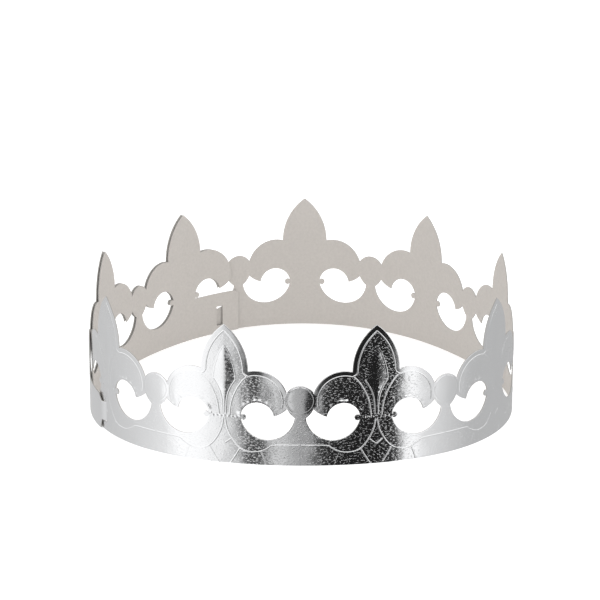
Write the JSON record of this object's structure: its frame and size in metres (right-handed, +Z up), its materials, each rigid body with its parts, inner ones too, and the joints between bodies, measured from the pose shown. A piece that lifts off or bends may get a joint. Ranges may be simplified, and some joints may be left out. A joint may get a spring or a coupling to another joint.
{
  "type": "foil card crown",
  "caption": "Foil-faced card crown: one die-cut, embossed strip of lilies and pearls bent into a ring and closed by a tongue in a slot.",
  "frame": {"origin": "centre of the ring's bounding box, on the card's lower edge", "axes": "+Z up to the spears' tips, -Y towards the front, which is the middle of one flat side of the ring"},
  "size_m": [0.1852, 0.1832, 0.0614],
  "materials": {
    "foil_card": "silver foil on the outside, bare grey board on the inside"
  },
  "bodies": {
    "root": {"crown_band": "foil_card"}
  },
  "joints": []
}
